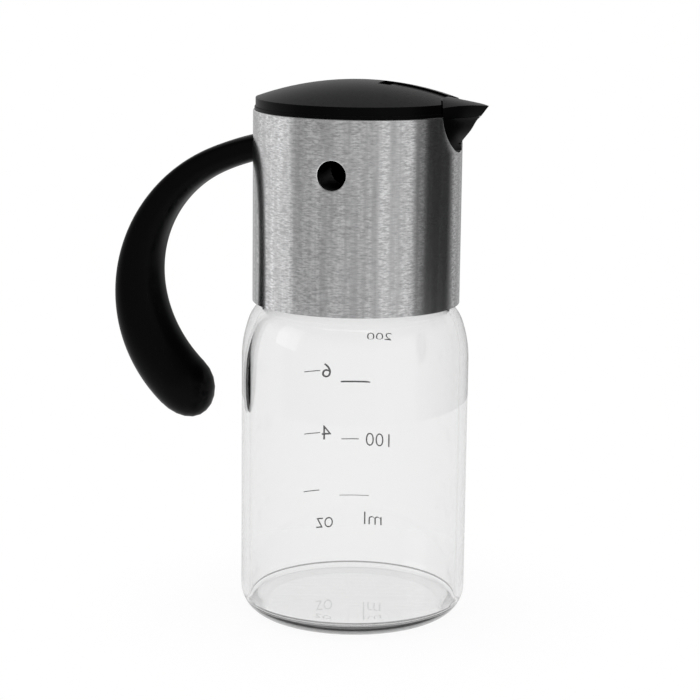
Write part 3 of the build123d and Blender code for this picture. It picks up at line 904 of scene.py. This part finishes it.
only(steel_collar)
edit_all()
bpy.ops.mesh.remove_doubles(threshold=twin_gap)
bpy.ops.mesh.dissolve_limited(angle_limit=math.radians(1))
bpy.ops.object.mode_set(mode="OBJECT")
corners = steel_collar.data.vertices
wall_edges = set()
for face in steel_collar.data.polygons:
    from_seam = max(abs(abs(corners[i].co.x) - plate_half * mm) for i in face.vertices)
    if abs(face.normal.z) < 0.5 and from_seam >= seam_gap:
        wall_edges.update(face.edge_keys)
bpy.ops.object.mode_set(mode="EDIT")
bpy.ops.mesh.select_mode(type="EDGE")
bpy.ops.mesh.select_all(action="DESELECT")
bpy.ops.object.mode_set(mode="OBJECT")
for edge in steel_collar.data.edges:
    on_top = min(corners[i].co.z for i in edge.vertices) > (sheet - 0.01) * mm
    edge.select = on_top and edge.key in wall_edges
bpy.ops.object.mode_set(mode="EDIT")
bpy.ops.mesh.bevel(
    offset=edge_ease * mm,
    offset_type="OFFSET",
    segments=3,
    affect="EDGES",
    clamp_overlap=False,
)
bpy.ops.object.mode_set(mode="OBJECT")
print("eased plate:", len(steel_collar.data.polygons), "faces")

# %% Bend the plate
bend_steps = 180

bpy.ops.object.mode_set(mode="EDIT")
bpy.ops.mesh.select_mode(type="VERT")
for step in range(1, bend_steps):
    bpy.ops.mesh.select_all(action="SELECT")
    bend_line = ((2 * step / bend_steps - 1) * plate_half * mm, 0, 0)
    bpy.ops.mesh.bisect(plane_co=bend_line, plane_no=(1, 0, 0))
bpy.ops.object.mode_set(mode="OBJECT")
for point in steel_collar.data.vertices:
    turn = point.co.x / (collar_radius * mm)
    reach = (collar_radius - sheet) * mm + point.co.z
    point.co = (reach * math.cos(turn), reach * math.sin(turn), point.co.y)
print("bent plate:", len(steel_collar.data.polygons), "faces")

# %% Weld the seam
only(steel_collar)
bpy.ops.object.mode_set(mode="EDIT")
bpy.ops.mesh.select_mode(type="FACE")
bpy.ops.mesh.select_all(action="DESELECT")
bpy.ops.object.mode_set(mode="OBJECT")
for face in steel_collar.data.polygons:
    behind = face.center.x < 0 and abs(face.center.y) < 1e-5
    face.select = behind and abs(face.normal.y) > 0.99
bpy.ops.object.mode_set(mode="EDIT")
bpy.ops.mesh.delete(type="FACE")
bpy.ops.mesh.select_all(action="SELECT")
bpy.ops.mesh.remove_doubles(threshold=seam_gap)
bpy.ops.object.mode_set(mode="OBJECT")
bpy.ops.object.shade_smooth_by_angle(angle=math.radians(35))
print("welded collar:", len(steel_collar.data.polygons), "faces")

# %% Mark the cut edges for their painted highlight and dress the collar
cut_edge_glint = steel_collar.data.attributes.new("cut_edge_glint", "FLOAT", "FACE")
for face in steel_collar.data.polygons:
    outwards = Vector((face.center.x, face.center.y, 0))
    leans = face.normal.dot(outwards.normalized()) < 0.96
    outside = outwards.length > (collar_radius - edge_ease - 0.1) * mm
    cut_edge_glint.data[face.index].value = float(leans and outside)
dress(steel_collar, brushed_steel, "head", "brushed_steel", "collar_sleeve")

# %% [markdown]
# ## The handle
#
# The handle is one soft black moulding: a flat bar where it leaves the collar, which swells
# into a round grip with a domed free end. A ring of points is spun round the centre of the
# handle's arc, so that each step of the spin is one section of the bar. Every section then
# gets its own size, and its inner side is rounder than its outer one, as fingers like it.

# %% Sweep the bar round its arc
arc_centre = (-25.26, 95.146)
arc_radius = 40.8
root_degrees, end_degrees = 94.0, 227.3
bar_turn = end_degrees - root_degrees
dome_turn = 12.0
bar_steps = 72

bpy.ops.object.select_all(action="DESELECT")
start = ((arc_centre[0] + arc_radius) * mm, 0, arc_centre[1] * mm)
bpy.ops.mesh.primitive_circle_add(vertices=72, radius=mm, fill_type="NOTHING", location=start)
grip = bpy.context.object
grip.name = grip.data.name = "grip"
bpy.ops.object.transform_apply(location=True)
edit_all()
round_about(arc_centre, bar_turn + dome_turn, bar_steps)
bpy.ops.object.mode_set(mode="OBJECT")
print("swept bar:", len(grip.data.vertices), "points")

# %% Swell the bar and dome its end
root_half_height, root_half_width = 3.83, 6.5
height_gain, width_gain, belly_gain = 4.95, 2.3, 0.2
gain_power = 1.4
# How square a section is, outside and inside: 2 is an ellipse, more is squarer.
outer_square, outer_loss = 4.6, 2.5
inner_square, inner_loss = 2.7, 0.6
# The bar's middle line against its arc: raised at the root, drawn in further on.
root_lift_turn = 20
arc_drop, belly_drop = 0.17, 0.22
dome_stretch, dome_lift = 1.25, 1.0


def section_half(size, unit, square):
    """Half a section's size at a place that is given from -1 to 1."""
    return size * math.copysign(abs(unit) ** (2 / square), unit)


def shape_section(turned, outward, sideways):
    """Place of one point of the bar, from its turn along the arc and its unit coordinates."""
    along = min(turned / bar_turn, 1)
    share = (1 - math.cos(math.pi * along**gain_power)) / 2
    belly = math.sin(math.pi * along)
    half_height = root_half_height + height_gain * share + belly_gain * belly
    half_width = root_half_width + width_gain * share
    outer, inner = outer_square - outer_loss * share, inner_square - inner_loss * share
    square = outer if outward > 0 else inner
    across = section_half(half_height, outward, square)
    width = section_half(half_width, sideways, square)
    lift = max(1 - turned / root_lift_turn, 0) ** 2 - arc_drop - belly_drop * belly
    past = 0.0
    if turned > bar_turn:
        dome = math.radians(min((turned - bar_turn) / dome_turn, 1) * 90)
        across, width = across * math.cos(dome), width * math.cos(dome)
        past = dome_stretch * half_height * math.sin(dome)
        lift += dome_lift * math.sin(dome) ** 2
    place = math.radians(root_degrees + min(turned, bar_turn))
    reach = arc_radius + lift + across
    return (
        (arc_centre[0] + reach * math.cos(place) - past * math.sin(place)) * mm,
        width * mm,
        (arc_centre[1] + reach * math.sin(place) + past * math.cos(place)) * mm,
    )


for point in grip.data.vertices:
    from_centre = (point.co.x / mm - arc_centre[0], point.co.z / mm - arc_centre[1])
    turned = max(math.degrees(math.atan2(from_centre[1], from_centre[0])), 0)
    outward = math.hypot(*from_centre) - arc_radius
    point.co = shape_section(turned, outward, point.co.y / mm)
print("free end at z", round(min(point.co.z for point in grip.data.vertices) / mm, 1), "mm")

# %% Close both ends of the bar
only(grip)
edit_all()
bpy.ops.mesh.remove_doubles(threshold=seam_gap)
bpy.ops.mesh.select_all(action="DESELECT")
bpy.ops.mesh.select_mode(type="EDGE")
bpy.ops.mesh.select_non_manifold(extend=False)
bpy.ops.mesh.edge_face_add()
bpy.ops.mesh.select_all(action="SELECT")
bpy.ops.mesh.normals_make_consistent(inside=False)
bpy.ops.object.mode_set(mode="OBJECT")
print("grip closed:", len(grip.data.polygons), "faces")

# %% Seat the root on the collar, drill it and dress it
seat_radius, seat_tall, seat_middle = 30.1, 60, 120
drill_radius, drill_long, drill_middle = 1.27, 12, -33

bpy.ops.object.select_all(action="DESELECT")
bpy.ops.mesh.primitive_cylinder_add(
    vertices=180,
    radius=seat_radius * mm,
    depth=seat_tall * mm,
    location=(0, 0, seat_middle * mm),
)
cut_or_join(grip, bpy.context.object, "DIFFERENCE")
for side in (-1, 1):
    bpy.ops.object.select_all(action="DESELECT")
    bpy.ops.mesh.primitive_cylinder_add(
        vertices=32,
        radius=drill_radius * mm,
        depth=drill_long * mm,
        location=(drill_middle * mm, side * screw_aside * mm, screw_height * mm),
        rotation=(0, math.radians(90), 0),
    )
    cut_or_join(grip, bpy.context.object, "DIFFERENCE")
only(grip)
bpy.ops.object.shade_smooth_by_angle(angle=math.radians(40))
dress(grip, black_grip, "head", "black_grip", "handle")

# %% [markdown]
# ## The other pieces
#
# The lid, the spout's liner, the beak and all that is inside need no new surfaces: their CAD
# solids are fine enough as they are, and stay where the frame has them. Each gets its finish.
# So do the three solids that were modelled again, which stay hidden behind their new pieces.

# %% Give the CAD solids their finishes
solid_finish = {
    "glass_jar": clear_glass,
    "seal_ring": clear_silicone,
    "collar_sleeve": brushed_steel,
    "thread_cap": black_plastic,
    "pour_insert": black_plastic,
    "divider_wall": black_plastic,
    "vent_tubes": black_plastic,
    "dome_cover": black_plastic,
    "spout_flap": black_plastic,
    "flap_pin": plain_steel,
    "flap_weight": plain_steel,
    "handle": black_grip,
    "handle_plate": plain_steel,
    "handle_screws": plain_steel,
}
for name, finish in solid_finish.items():
    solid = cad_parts[name]
    solid.data.materials.clear()
    solid.data.materials.append(finish)
    print(name, "gets", finish.name)
